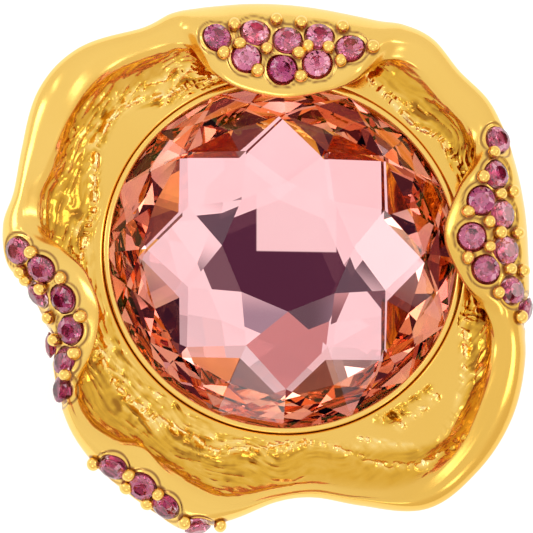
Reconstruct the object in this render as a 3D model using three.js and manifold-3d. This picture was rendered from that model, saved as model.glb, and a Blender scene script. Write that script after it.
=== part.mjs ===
// Cocktail ring: a ruffled, flower-like cup in yellow gold round one large round stone.
// Four of the petals curl in and carry small round stones in drilled seats, held by beads.
// Millimetres. The origin is the centre of the finger hole, +Z points to the big stone,
// the finger lies along Y, and +Y is the top of the flower.
import * as THREE from 'three';
import { mergeVertices } from 'three/addons/utils/BufferGeometryUtils.js';
import Module from 'manifold-3d';

const wasm = await Module();
wasm.setup();

// Shank
const FINGER_RADIUS = 8.65;
const BAND_THICK_BACK = 1.6;
const BAND_THICK_TOP = 1.8;
const BAND_WIDTH_BACK = 3.6;
const BAND_WIDTH_TOP = 7.6;
const BAND_EDGE = 0.5;
const BAND_DOME = 0.45;

// Head. Heights below this line are measured from the girdle of the big stone.
const GIRDLE_HEIGHT = 17.4;
const STONE_RADIUS = 10.12;
const STONE_CROWN = 3.0;
const STONE_GIRDLE = 0.24;
const STONE_BACK = 1.3;
const STONE_DEPTH = 2.0;
const JOIN_GAP = 0.05;

// Collet, the short tube that the big stone sits in
const COLLET_OUTER = 10.42;
const COLLET_INNER = 9.6;
const COLLET_LIP = 10.0;
const COLLET_TOP = 0.64;
const COLLET_FOOT = -2.0;

// Cup
const CUP_FOOT = -5.7;
const CUP_FOOT_INNER = 6.0;
const CUP_FOOT_OUTER = 7.0;
const LEDGE_INNER = 9.9;
const BOWL_FLOOR = 0.42;
const CUP_COLUMNS = 80;
const ROWS_PER_SPAN = 2;

// Gallery, the collar between the shank and the cup
const GALLERY_INNER = 5.9;
const GALLERY_OUTER = 7.1;
const GALLERY_WAIST = 6.6;

// Small stones and the beads that hold them
const SMALL_STONE_RADIUS = 0.76;
const SMALL_STONE_GAP = 0.05;
const BEAD_RADIUS = 0.38;
const BEAD_LIFT = 0.18;

// Stations round the cup, counter-clockwise from the right-hand petal. Each one is
// [nose angle, nose radius, nose height, top height, shoulder angle, shoulder radius, shoulder height,
// floor edge radius]: the nose is the inner edge of the rolled rim, the shoulder is the widest part
// of its outside, and the floor edge is where the flat floor round the collet starts to rise.
const STATIONS = [
  // right petal, curled over the stone
  [350, 10.3, 2.2, 2.7, 350, 14.4, 0.2, 12.0],
  [361, 9.2, 2.2, 2.8, 361, 14.2, 0.2, 12.2],
  [371, 9.3, 2.2, 2.8, 372, 14.3, 0.3, 12.2],
  [381, 10.6, 2.3, 2.8, 382, 14.5, 0.6, 12.0],
  [388, 12.3, 1.9, 2.3, 391, 14.8, 0.8, 11.6],
  // upper right petal, open
  [395, 13.0, 1.6, 2.0, 398, 15.0, 0.9, 11.3],
  [406, 13.0, 1.6, 2.0, 407, 14.9, 0.9, 10.9],
  [415, 13.3, 1.7, 2.1, 416, 15.4, 0.9, 11.1],
  [422, 12.7, 2.0, 2.4, 423, 15.2, 1.0, 11.4],
  // top petal, curled over the stone
  [428, 10.6, 2.5, 3.0, 429, 14.7, 1.2, 12.0],
  [437, 9.4, 2.4, 2.9, 438, 14.6, 0.7, 12.0],
  [451, 8.8, 2.3, 2.8, 450, 14.7, 0.5, 12.0],
  [465, 9.5, 2.4, 2.9, 462, 14.9, 0.7, 12.0],
  [473, 11.0, 2.5, 3.0, 469, 15.1, 1.0, 11.6],
  [476, 13.3, 1.9, 2.2, 475, 15.4, 0.9, 11.1],
  // upper left petal, open and the widest
  [485, 14.0, 2.0, 2.4, 483, 15.4, 1.3, 11.3],
  [497, 14.6, 2.1, 2.7, 496, 16.7, 1.6, 12.5],
  [509, 14.5, 2.3, 2.9, 507, 16.9, 1.8, 12.7],
  [521, 14.5, 2.0, 2.4, 519, 16.2, 1.4, 11.7],
  [529, 14.9, 1.8, 2.2, 528, 15.9, 1.2, 11.3],
  // left petal, curled in
  [535, 14.4, 1.7, 2.1, 535, 16.2, 0.8, 11.4],
  [541, 12.7, 2.2, 2.7, 543, 15.9, 0.7, 11.7],
  [548, 11.5, 2.2, 2.7, 548, 14.9, 0.2, 12.0],
  [559, 11.3, 2.0, 2.4, 557, 14.2, -0.3, 12.0],
  [568, 12.5, 1.6, 2.0, 566, 14.7, -0.2, 12.0],
  [574, 14.7, 1.7, 2.1, 573, 15.4, 0.7, 12.1],
  // lower left petal, rolled outward
  [581, 15.4, 1.8, 2.1, 581, 16.1, 1.0, 12.4],
  [589, 15.0, 1.8, 2.1, 589, 16.4, 0.6, 12.3],
  [595, 14.1, 1.8, 2.2, 596, 16.5, 0.4, 12.0],
  [603, 14.6, 1.7, 2.1, 604, 16.7, 0.3, 11.7],
  [613, 15.0, 1.6, 2.0, 611, 16.9, 0.3, 12.0],
  [619, 14.8, 1.5, 1.8, 619, 15.7, 0.7, 11.6],
  // bottom, a thin low edge
  [628, 14.0, 1.3, 1.6, 628, 14.4, 0.8, 11.2],
  [637, 13.8, 1.3, 1.6, 637, 14.2, 0.8, 11.1],
  [646, 14.6, 1.5, 1.8, 647, 15.2, 0.8, 11.6],
  // lower right petal, open
  [657, 15.5, 1.7, 2.2, 659, 16.8, 1.1, 12.7],
  [671, 15.0, 1.8, 2.4, 671, 16.7, 1.3, 13.8],
  [683, 14.1, 1.8, 2.3, 684, 16.1, 1.1, 12.8],
  [696, 13.2, 1.6, 2.1, 697, 15.1, 0.6, 11.3],
  [703, 12.1, 1.8, 2.2, 703, 14.6, 0.2, 11.3],
];

// Small stones of each petal, as [station, place across the rim]: place 0 is the nose,
// 2 the top and 4 the shoulder. Station 0 is the first line of STATIONS.
const SMALL_STONES = {
  top: [
    [12.62, 2.19], [11.58, 2.48], [10.96, 2.28], [10.32, 2.44],
    [9.54, 2.12], [11.84, 1.64], [11.06, 1.42], [10.3, 1.56],
  ],
  right: [
    [3.78, 2.75], [2.88, 2.44], [2.32, 1.81], [1.84, 2.62], [1.32, 1.5],
    [0.96, 2.62], [0.44, 1.75], [0.06, 2.69], [39.7, 3.62],
  ],
  left: [
    [20.8, 2.94], [21.66, 2.56], [22.6, 2.44], [23.38, 2.4],
    [24.08, 2.85], [22.34, 3.55], [24.9, 3.12], [23.52, 3.95],
  ],
  lower_left: [[27.46, 3.0], [28.44, 2.8], [29.16, 3.06], [30.22, 3.62]],
};

// Beads beside those stones, in the same two numbers
const BEADS = [
  [12.5, 1.62], [11.98, 2.02], [12.04, 2.6], [11.4, 1.94], [11.62, 1.3], [11.18, 2.8],
  [10.7, 2.75], [10.72, 1.86], [10.54, 2.06], [10.1, 2.04], [10.64, 1.2], [9.72, 1.6],
  [9.84, 2.75], [8.86, 2.0],
  [3.5, 2.2], [2.92, 1.75], [2.08, 1.38], [1.68, 2.06], [2.36, 2.44], [2.36, 2.95],
  [1.0, 2.0], [1.38, 2.38], [1.38, 3.0], [0.7, 1.22], [0.52, 2.56], [0.56, 3.12],
  [39.86, 1.96], [39.3, 2.88],
  [20.98, 2.3], [22.08, 2.02], [22.2, 3.0], [23.1, 1.76], [22.9, 3.3], [23.5, 3.2],
  [24.0, 2.0], [24.6, 2.2], [21.46, 3.31], [21.8, 3.4],
  [26.95, 3.5], [28.0, 2.62], [28.1, 3.3], [28.9, 2.4], [29.8, 3.0], [28.74, 3.3], [30.7, 3.5],
];

function blend(a, b, t) {
  return a + (b - a) * t;
}

function ease(x, low, high) {
  const t = THREE.MathUtils.clamp((x - low) / (high - low), 0, 1);
  return t * t * (3 - 2 * t);
}

function polar(angleDegrees, radius, height) {
  const angle = THREE.MathUtils.degToRad(angleDegrees);
  return new THREE.Vector3(radius * Math.cos(angle), radius * Math.sin(angle), height);
}

function gold() {
  return new THREE.MeshStandardMaterial({ color: 0xe2ad3b, roughness: 0.22, metalness: 1.0 });
}

function pinkStone() {
  return new THREE.MeshStandardMaterial({ color: 0xf0b8b8, roughness: 0.05, flatShading: true });
}

function roseStone() {
  return new THREE.MeshStandardMaterial({ color: 0xb0405f, roughness: 0.05, flatShading: true });
}

// Solids

function closedGeometry(positions, triangles) {
  const geometry = new THREE.BufferGeometry();
  geometry.setAttribute('position', new THREE.Float32BufferAttribute(positions, 3));
  geometry.setIndex(triangles);
  return geometry;
}

function signedVolume(geometry) {
  const position = geometry.getAttribute('position');
  const corners = [new THREE.Vector3(), new THREE.Vector3(), new THREE.Vector3()];
  let sum = 0;
  for (let i = 0; i < geometry.index.count; i += 3) {
    corners.forEach((corner, k) => corner.fromBufferAttribute(position, geometry.index.getX(i + k)));
    sum += corners[0].dot(corners[1].clone().cross(corners[2]));
  }
  return sum / 6;
}

// Turns every face round when the faces point in.
function facingOut(geometry) {
  if (signedVolume(geometry) < 0) {
    const index = geometry.index;
    for (let i = 0; i < index.count; i += 3) {
      const second = index.getX(i + 1);
      index.setX(i + 1, index.getX(i + 2));
      index.setX(i + 2, second);
    }
  }
  return geometry;
}

function shaded(geometry) {
  geometry.computeVertexNormals();
  return geometry;
}

// A ring-shaped solid through closed sections, each a list of the same number of points.
function closedLoft(sections) {
  const count = sections[0].length;
  const positions = sections.flat().flatMap((point) => [point.x, point.y, point.z]);
  const triangles = [];
  sections.forEach((section, i) => {
    const next = (i + 1) % sections.length;
    for (let j = 0; j < count; j += 1) {
      const k = (j + 1) % count;
      const [a, b, c, d] = [i * count + j, next * count + j, next * count + k, i * count + k];
      triangles.push(a, b, c, a, c, d);
    }
  });
  return facingOut(closedGeometry(positions, triangles));
}

// A solid turned about Z from a closed or axis-to-axis outline of [radius, height].
function turned(outline, segments) {
  const points = outline.map(([radius, height]) => new THREE.Vector2(radius, height));
  const lathe = new THREE.LatheGeometry(points, segments).rotateX(Math.PI / 2);
  return facingOut(withoutSeams(lathe));
}

function withoutSeams(geometry) {
  geometry.deleteAttribute('normal');
  geometry.deleteAttribute('uv');
  const merged = mergeVertices(geometry, 1e-4);
  const index = [];
  for (let i = 0; i < merged.index.count; i += 3) {
    const [a, b, c] = [0, 1, 2].map((k) => merged.index.getX(i + k));
    if (a !== b && b !== c && c !== a) {
      index.push(a, b, c);
    }
  }
  merged.setIndex(index);
  return merged;
}

function toManifold(geometry) {
  return new wasm.Manifold(new wasm.Mesh({
    numProp: 3,
    vertProperties: Float32Array.from(geometry.getAttribute('position').array),
    triVerts: Uint32Array.from(geometry.index.array),
  }));
}

function fromManifold(solid) {
  const mesh = solid.getMesh();
  return closedGeometry(Array.from(mesh.vertProperties), Array.from(mesh.triVerts));
}

function node(name, geometry, material) {
  const mesh = new THREE.Mesh(shaded(geometry), material);
  mesh.name = name;
  return mesh;
}

// Cup

// The eight station numbers at any place between two stations, on a smooth closed curve.
function stationAt(u) {
  const count = STATIONS.length;
  const start = Math.floor(u);
  const f = u - start;
  const row = (k) => {
    const turns = Math.floor(k / count);
    return STATIONS[k - turns * count].map((value, j) => value + (j === 0 || j === 4 ? 360 * turns : 0));
  };
  const [before, from, to, after] = [-1, 0, 1, 2].map((k) => row(start + k));
  return from.map((value, j) => {
    const leave = (to[j] - before[j]) / 2;
    const arrive = (after[j] - value) / 2;
    return (2 * f ** 3 - 3 * f ** 2 + 1) * value + (f ** 3 - 2 * f ** 2 + f) * leave
      + (3 * f ** 2 - 2 * f ** 3) * to[j] + (f ** 3 - f ** 2) * arrive;
  });
}

// One slice of the cup: nose, over the rim to the shoulder, down the outside to the foot,
// and back up the inside and the bowl. A petal that curls in is hollow under its rim.
function cupSlice(u) {
  const [noseAngle, nose, noseZ, topZ, angle, shoulder, shoulderZ, floorEdge] = stationAt(u);
  const curl = ease(shoulder - nose, 1.9, 3.6);
  const across = (t) => blend(noseAngle, angle, t);
  const rollIn = blend(0.22, 0.14, curl);
  return new THREE.CatmullRomCurve3([
    polar(noseAngle, nose, noseZ),
    polar(across(rollIn), blend(nose, shoulder, rollIn), blend(noseZ, topZ, 0.8)),
    polar(across(0.47), blend(nose, shoulder, 0.47), topZ),
    polar(across(0.8), blend(nose, shoulder, 0.82), blend(topZ, shoulderZ, blend(0.3, 0.36, curl))),
    polar(angle, shoulder, shoulderZ),
    polar(angle, shoulder - 1.0, shoulderZ - blend(1.9, 1.7, curl)),
    polar(angle, 11.7, -2.4),
    polar(angle, CUP_FOOT_OUTER + 0.1, CUP_FOOT + 0.2),
    polar(angle, CUP_FOOT_INNER, CUP_FOOT - 1.2),
    polar(angle, CUP_FOOT_INNER - 1.2, CUP_FOOT + 0.4),
    polar(angle, 8.4, -2.6),
    polar(angle, 9.6, BOWL_FLOOR - 0.15),
    polar(across(0.8), floorEdge, BOWL_FLOOR),
    polar(across(0.6), blend(blend(floorEdge, nose, 0.45), shoulder - 1.5, curl),
      blend(blend(BOWL_FLOOR, noseZ, 0.34), BOWL_FLOOR + 0.5, curl)),
    polar(across(blend(0.02, 0.45, curl)),
      blend(blend(floorEdge, nose, 0.8), blend(nose, shoulder, 0.45), curl),
      blend(blend(BOWL_FLOOR, noseZ, 0.75), topZ - 1.15, curl)),
    polar(noseAngle, blend(blend(floorEdge, nose, 0.93), nose + 0.55, curl),
      blend(blend(BOWL_FLOOR, noseZ, 0.92), noseZ - 0.62, curl)),
  ], true, 'centripetal');
}

const SPANS = 16;

// The point on the rim at a station and a place across, with the direction out of the metal.
function rimFrame(u, place) {
  const step = 0.02;
  const at = (du, dv) => cupSlice(u + du).getPoint((place + dv) / SPANS);
  const along = at(step, 0).sub(at(-step, 0));
  const over = at(0, step).sub(at(0, -step));
  return { point: at(0, 0), normal: over.cross(along).normalize() };
}

function placedOnRim(geometry, u, place, lift, scale) {
  const { point, normal } = rimFrame(u, place);
  const turn = new THREE.Quaternion().setFromUnitVectors(new THREE.Vector3(0, 0, 1), normal);
  const position = point.addScaledVector(normal, lift);
  const size = new THREE.Vector3(scale, scale, scale);
  return geometry.applyMatrix4(new THREE.Matrix4().compose(position, turn, size));
}

// The tool that clears the collet's seat, the open back and the flat foot out of the raw cup.
function boreTool() {
  const bore = COLLET_OUTER + JOIN_GAP;
  const ledge = COLLET_FOOT - JOIN_GAP;
  return turned([
    [0, 1.0], [bore, 1.0], [bore, ledge], [LEDGE_INNER, ledge], [CUP_FOOT_INNER, CUP_FOOT + 0.5],
    [CUP_FOOT_INNER, CUP_FOOT], [12, CUP_FOOT], [12, CUP_FOOT - 4], [0, CUP_FOOT - 4],
  ], 48);
}

// Eight-sided, as the small stones are, so that the gap to them is even.
function drillTool() {
  const radius = SMALL_STONE_RADIUS + SMALL_STONE_GAP;
  const depth = 0.62 * radius + SMALL_STONE_GAP;
  return turned([[0, -depth], [radius, -0.06], [radius, 0.7], [0, 0.7]], 8);
}

function beadBall() {
  return withoutSeams(new THREE.SphereGeometry(BEAD_RADIUS, 6, 3));
}

function smallStonePlaces() {
  return Object.values(SMALL_STONES).flat();
}

function cupGeometry() {
  const sections = [];
  for (let i = 0; i < CUP_COLUMNS; i += 1) {
    const slice = cupSlice((i * STATIONS.length) / CUP_COLUMNS);
    const rows = SPANS * ROWS_PER_SPAN;
    sections.push(Array.from({ length: rows }, (_, j) => slice.getPoint(j / rows)));
  }
  let cup = toManifold(closedLoft(sections)).subtract(toManifold(boreTool()));
  for (const [u, place] of smallStonePlaces()) {
    cup = cup.subtract(toManifold(placedOnRim(drillTool(), u, place, 0, 1)));
  }
  for (const [u, place] of BEADS) {
    cup = cup.add(toManifold(placedOnRim(beadBall(), u, place, BEAD_LIFT, 1)));
  }
  const clearance = 1 + SMALL_STONE_GAP / SMALL_STONE_RADIUS;
  for (const [u, place] of smallStonePlaces()) {
    cup = cup.subtract(toManifold(placedOnRim(smallStoneGeometry(), u, place, 0, clearance)));
  }
  return fromManifold(cup);
}

// Stones

// Faces are lists of corners in order; each is split into a fan of triangles.
function faceted(corners, faces) {
  const triangles = faces.flatMap((face) => {
    const fan = [];
    for (let i = 2; i < face.length; i += 1) {
      fan.push(face[0], face[i - 1], face[i]);
    }
    return fan;
  });
  return facingOut(closedGeometry(corners.flatMap((p) => [p.x, p.y, p.z]), triangles));
}

function ringOfCorners(count, startDegrees, radius, height) {
  return Array.from({ length: count }, (_, i) => polar(startDegrees + (360 * i) / count, radius, height));
}

// Single cut: an eight-sided table, eight crown facets, a thin girdle and eight pavilion facets.
function smallStoneGeometry() {
  const r = SMALL_STONE_RADIUS;
  const corners = [
    ...ringOfCorners(8, 0, 0.58 * r, 0.26 * r),
    ...ringOfCorners(8, 0, r, 0.03 * r),
    ...ringOfCorners(8, 0, r, -0.03 * r),
    new THREE.Vector3(0, 0, -0.62 * r),
  ];
  const faces = [[0, 1, 2, 3, 4, 5, 6, 7]];
  for (let i = 0; i < 8; i += 1) {
    const j = (i + 1) % 8;
    faces.push([i, 8 + i, 8 + j, j], [8 + i, 16 + i, 16 + j, 8 + j], [16 + i, 24, 16 + j]);
  }
  return faceted(corners, faces);
}

// The big stone's crown is two overlapping squares round an eight-sided table. Its back has a
// flat face of the same star outline, and small facets from there out to the girdle.
function bigStoneGeometry() {
  const r = STONE_RADIUS;
  const rim = STONE_GIRDLE / 2;
  const corners = [
    ...ringOfCorners(8, 0, 0.372 * r, STONE_CROWN),
    ...ringOfCorners(8, 22.5, 0.603 * r, 2.38),
    ...ringOfCorners(8, 0, 0.79 * r, 1.6),
    ...ringOfCorners(16, 0, r, rim),
    ...ringOfCorners(16, 0, r, -rim),
    ...ringOfCorners(8, 0, 0.76 * r, -STONE_BACK),
    ...ringOfCorners(8, 22.5, 0.575 * r, -STONE_BACK),
    ...ringOfCorners(8, 22.5, 0.72 * r, -STONE_DEPTH),
    ...ringOfCorners(16, 11.25, 0.87 * r, -0.9),
    new THREE.Vector3(0, 0, -STONE_BACK),
  ];
  const [table, star, tip, upper, lower] = [0, 8, 16, 24, 40];
  const [point, notch, deep, outer, middle] = [56, 64, 72, 80, 96];
  const faces = [[0, 1, 2, 3, 4, 5, 6, 7]];
  for (let i = 0; i < 8; i += 1) {
    const next = (i + 1) % 8;
    const last = (i + 7) % 8;
    const [edge, mid, far, back] = [2 * i, 2 * i + 1, (2 * i + 2) % 16, (2 * i + 15) % 16];
    faces.push(
      [table + i, star + i, table + next],
      [table + i, star + last, tip + i, star + i],
      [star + i, tip + i, upper + mid, tip + next],
      [tip + i, upper + edge, upper + mid],
      [tip + i, upper + back, upper + edge],
      [upper + edge, lower + edge, lower + mid, upper + mid],
      [upper + mid, lower + mid, lower + far, upper + far],
      [lower + edge, outer + edge, lower + mid],
      [lower + mid, outer + edge, outer + mid],
      [lower + mid, outer + mid, lower + far],
      [lower + edge, outer + back, outer + edge],
      [middle, notch + i, point + i],
      [middle, point + next, notch + i],
      [point + i, notch + i, deep + i],
      [notch + i, point + next, deep + i],
      [point + i, deep + i, outer + edge],
      [deep + i, outer + mid, outer + edge],
      [deep + i, point + next, outer + mid],
      [point + i, outer + edge, outer + back],
    );
  }
  return faceted(corners, faces);
}

// Collet, gallery and shank

function colletGeometry() {
  const seat = STONE_RADIUS + JOIN_GAP;
  return turned([
    [COLLET_OUTER, COLLET_FOOT], [COLLET_OUTER, 0.48], [COLLET_OUTER - 0.1, 0.6], [10.2, COLLET_TOP],
    [COLLET_LIP + 0.08, 0.6], [COLLET_LIP, 0.44], [seat, 0.2], [seat, -0.22],
    [COLLET_INNER, -0.7], [COLLET_INNER, COLLET_FOOT], [COLLET_OUTER, COLLET_FOOT],
  ], 56);
}

// Band section, width along Y, dome facing away from the finger. It is flat-topped under the gallery.
function bandSection(angle) {
  const top = ease(Math.cos(angle), -0.2, 0.92);
  const half = blend(BAND_WIDTH_BACK, BAND_WIDTH_TOP, top) / 2;
  const thick = blend(BAND_THICK_BACK, BAND_THICK_TOP, top);
  const dome = blend(BAND_DOME, 0.0, ease(Math.cos(angle), 0.4, 0.7));
  const outline = [
    [-half + 0.25, 0], [0, 0], [half - 0.25, 0], [half, 0.25],
    [half, thick - dome - BAND_EDGE], [half - 0.2, thick - dome - 0.18], [half - BAND_EDGE, thick - dome],
    [half * 0.45, thick - dome * 0.3], [0, thick], [-half * 0.45, thick - dome * 0.3],
    [-half + BAND_EDGE, thick - dome], [-half + 0.2, thick - dome - 0.18], [-half, thick - dome - BAND_EDGE],
    [-half, 0.25],
  ];
  return outline.map(([y, height]) => {
    const radius = FINGER_RADIUS + height;
    return new THREE.Vector3(radius * Math.sin(angle), y, radius * Math.cos(angle));
  });
}

function shankGeometry() {
  const steps = 60;
  return closedLoft(Array.from({ length: steps }, (_, i) => bandSection((2 * Math.PI * i) / steps)));
}

// The collar's underside is cut to the curve of the shank, and both meet in a thin joint.
function galleryGeometry() {
  const top = GIRDLE_HEIGHT + CUP_FOOT - JOIN_GAP;
  const foot = 6.5;
  const collar = turned([
    [GALLERY_INNER, foot], [GALLERY_OUTER, foot], [GALLERY_OUTER, foot + 1.8], [GALLERY_WAIST, foot + 3.2],
    [GALLERY_WAIST, top - 0.8], [GALLERY_OUTER, top - 0.3], [GALLERY_OUTER, top], [GALLERY_INNER, top],
    [GALLERY_INNER, foot],
  ], 48);
  const reach = FINGER_RADIUS + BAND_THICK_TOP + JOIN_GAP;
  const core = new THREE.CylinderGeometry(reach, reach, 30, 72);
  return fromManifold(toManifold(collar).subtract(toManifold(withoutSeams(core))));
}

const ring = new THREE.Group();
ring.add(node('shank', shankGeometry(), gold()));
ring.add(node('gallery', galleryGeometry(), gold()));

const head = new THREE.Group();
head.position.z = GIRDLE_HEIGHT;
head.add(node('petal_cup', cupGeometry(), gold()));
head.add(node('stone_collet', colletGeometry(), gold()));
head.add(node('centre_stone', bigStoneGeometry(), pinkStone()));
for (const [petal, places] of Object.entries(SMALL_STONES)) {
  places.forEach(([u, place], i) => {
    const stone = placedOnRim(smallStoneGeometry(), u, place, 0, 1);
    head.add(node(`${petal}_stone_${i + 1}`, stone, roseStone()));
  });
}
ring.add(head);

export default ring;
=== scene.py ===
"""Cocktail ring: the looks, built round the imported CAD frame. Lengths below are in millimetres
unless a name says otherwise, and MM turns them into Blender's metres."""
import math

import bmesh
import bpy
import numpy as np
from mathutils import Matrix, Vector


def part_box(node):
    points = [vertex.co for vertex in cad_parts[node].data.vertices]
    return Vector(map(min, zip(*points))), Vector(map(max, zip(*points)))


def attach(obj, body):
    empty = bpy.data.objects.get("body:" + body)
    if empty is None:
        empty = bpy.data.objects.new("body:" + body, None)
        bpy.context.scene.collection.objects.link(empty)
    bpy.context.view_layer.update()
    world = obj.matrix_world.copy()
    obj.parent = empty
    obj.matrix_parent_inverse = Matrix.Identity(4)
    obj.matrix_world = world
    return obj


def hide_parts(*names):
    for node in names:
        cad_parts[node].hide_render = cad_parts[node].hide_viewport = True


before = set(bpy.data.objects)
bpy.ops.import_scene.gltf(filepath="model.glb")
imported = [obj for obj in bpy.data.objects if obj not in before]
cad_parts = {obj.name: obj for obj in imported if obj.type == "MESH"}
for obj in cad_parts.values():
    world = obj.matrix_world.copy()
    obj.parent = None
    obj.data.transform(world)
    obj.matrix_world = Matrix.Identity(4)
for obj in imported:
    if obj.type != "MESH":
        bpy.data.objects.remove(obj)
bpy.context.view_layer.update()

MM = 0.001
BODY = "root"

# Places taken from the frame
stone_low, stone_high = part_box("centre_stone")
cup_low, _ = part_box("petal_cup")
shank_low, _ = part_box("shank")
STONE_CROWN = 3.0
GIRDLE_HEIGHT = stone_high.z / MM - STONE_CROWN
STONE_RADIUS = (stone_high.x - stone_low.x) / MM / 2
CUP_FOOT = cup_low.z / MM - GIRDLE_HEIGHT
FLOOR_HEIGHT = shank_low.z / MM

# The same stations as the CAD cup, counter-clockwise from the right-hand petal: nose angle,
# nose radius, nose height, top height, shoulder angle, shoulder radius, shoulder height and
# floor edge radius. The nose is the rim's inner edge and the shoulder its outer one. Heights are
# over the big stone's girdle.
STATIONS = [
    # right petal, curled over the stone
    (350, 10.3, 2.2, 2.7, 350, 14.4, 0.2, 12.0),
    (361, 9.2, 2.2, 2.8, 361, 14.2, 0.2, 12.2),
    (371, 9.3, 2.2, 2.8, 372, 14.3, 0.3, 12.2),
    (381, 10.6, 2.3, 2.8, 382, 14.5, 0.6, 12.0),
    (388, 12.3, 1.9, 2.3, 391, 14.8, 0.8, 11.6),
    # upper right petal, open
    (395, 13.0, 1.6, 2.0, 398, 15.0, 0.9, 11.3),
    (406, 13.0, 1.6, 2.0, 407, 14.9, 0.9, 10.9),
    (415, 13.3, 1.7, 2.1, 416, 15.4, 0.9, 11.1),
    (422, 12.7, 2.0, 2.4, 423, 15.2, 1.0, 11.4),
    # top petal, curled over the stone
    (428, 10.6, 2.5, 3.0, 429, 14.7, 1.2, 12.0),
    (437, 9.4, 2.4, 2.9, 438, 14.6, 0.7, 12.0),
    (451, 8.8, 2.3, 2.8, 450, 14.7, 0.5, 12.0),
    (465, 9.5, 2.4, 2.9, 462, 14.9, 0.7, 12.0),
    (473, 11.0, 2.5, 3.0, 469, 15.1, 1.0, 11.6),
    (476, 13.3, 1.9, 2.2, 475, 15.4, 0.9, 11.1),
    # upper left petal, open and the widest
    (485, 14.0, 2.0, 2.4, 483, 15.4, 1.3, 11.3),
    (497, 14.6, 2.1, 2.7, 496, 16.7, 1.6, 12.5),
    (509, 14.5, 2.3, 2.9, 507, 16.9, 1.8, 12.7),
    (521, 14.5, 2.0, 2.4, 519, 16.2, 1.4, 11.7),
    (529, 14.9, 1.8, 2.2, 528, 15.9, 1.2, 11.3),
    # left petal, curled in
    (535, 14.4, 1.7, 2.1, 535, 16.2, 0.8, 11.4),
    (541, 12.7, 2.2, 2.7, 543, 15.9, 0.7, 11.7),
    (548, 11.5, 2.2, 2.7, 548, 14.9, 0.2, 12.0),
    (559, 11.3, 2.0, 2.4, 557, 14.2, -0.3, 12.0),
    (568, 12.5, 1.6, 2.0, 566, 14.7, -0.2, 12.0),
    (574, 14.7, 1.7, 2.1, 573, 15.4, 0.7, 12.1),
    # lower left petal, rolled outward
    (581, 15.4, 1.8, 2.1, 581, 16.1, 1.0, 12.4),
    (589, 15.0, 1.8, 2.1, 589, 16.4, 0.6, 12.3),
    (595, 14.1, 1.8, 2.2, 596, 16.5, 0.4, 12.0),
    (603, 14.6, 1.7, 2.1, 604, 16.7, 0.3, 11.7),
    (613, 15.0, 1.6, 2.0, 611, 16.9, 0.3, 12.0),
    (619, 14.8, 1.5, 1.8, 619, 15.7, 0.7, 11.6),
    # bottom, a thin low edge
    (628, 14.0, 1.3, 1.6, 628, 14.4, 0.8, 11.2),
    (637, 13.8, 1.3, 1.6, 637, 14.2, 0.8, 11.1),
    (646, 14.6, 1.5, 1.8, 647, 15.2, 0.8, 11.6),
    # lower right petal, open
    (657, 15.5, 1.7, 2.2, 659, 16.8, 1.1, 12.7),
    (671, 15.0, 1.8, 2.4, 671, 16.7, 1.3, 13.8),
    (683, 14.1, 1.8, 2.3, 684, 16.1, 1.1, 12.8),
    (696, 13.2, 1.6, 2.1, 697, 15.1, 0.6, 11.3),
    (703, 12.1, 1.8, 2.2, 703, 14.6, 0.2, 11.3),
]

# Small stones as (station, place across the rim), and the beads beside them, as in the CAD cup. A
# place counts control points of the slice, from the nose outward.
SMALL_STONES = {
    "top": [
        (12.62, 2.19), (11.58, 2.48), (10.96, 2.28), (10.32, 2.44),
        (9.54, 2.12), (11.84, 1.64), (11.06, 1.42), (10.3, 1.56),
    ],
    "right": [
        (3.78, 2.75), (2.88, 2.44), (2.32, 1.81), (1.84, 2.62), (1.32, 1.5),
        (0.96, 2.62), (0.44, 1.75), (0.06, 2.69), (39.7, 3.62),
    ],
    "left": [
        (20.8, 2.94), (21.66, 2.56), (22.6, 2.44), (23.38, 2.4),
        (24.08, 2.85), (22.34, 3.55), (24.9, 3.12), (23.52, 3.95),
    ],
    "lower_left": [(27.46, 3.0), (28.44, 2.8), (29.16, 3.06), (30.22, 3.62)],
}
BEADS = [
    (12.5, 1.62), (11.98, 2.02), (12.04, 2.6), (11.4, 1.94), (11.62, 1.3), (11.18, 2.8),
    (10.7, 2.75), (10.72, 1.86), (10.54, 2.06), (10.1, 2.04), (10.64, 1.2), (9.72, 1.6),
    (9.84, 2.75), (8.86, 2.0),
    (3.5, 2.2), (2.92, 1.75), (2.08, 1.38), (1.68, 2.06), (2.36, 2.44), (2.36, 2.95),
    (1.0, 2.0), (1.38, 2.38), (1.38, 3.0), (0.7, 1.22), (0.52, 2.56), (0.56, 3.12),
    (39.86, 1.96), (39.3, 2.88),
    (20.98, 2.3), (22.08, 2.02), (22.2, 3.0), (23.1, 1.76), (22.9, 3.3), (23.5, 3.2),
    (24.0, 2.0), (24.6, 2.2), (21.46, 3.31), (21.8, 3.4),
    (26.95, 3.5), (28.0, 2.62), (28.1, 3.3), (28.9, 2.4), (29.8, 3.0), (28.74, 3.3), (30.7, 3.5),
]
SMALL_STONE_RADIUS = 0.76
# Degrees that each small stone is turned from the one before it, and that each leans over
SMALL_STONE_SPIN = 37.0
SMALL_STONE_LEAN = 7.0
# How dark the small stones of each petal are, from 0 to 1
SMALL_STONE_SHADE = {"top": 0.0, "right": 0.4, "left": 0.7, "lower_left": 0.5}
# Depths of the round seat under each small stone and of the field round a petal's stones, then the
# distances from a stone's middle over which each one's wall falls, in small stone radii
SEAT_DEPTH = 0.42
SEAT_WALL = (0.9, 1.18)
FIELD_DEPTH = 0.1
FIELD_WALL = (1.32, 1.56)
BEAD_RADIUS = 0.38
BEAD_LIFT = 0.18
BEAD_SQUASH = 0.07
# The painted shadow round each bead fades between these distances from its middle, in bead radii
BEAD_SHADOW = (1.05, 1.45)

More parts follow.
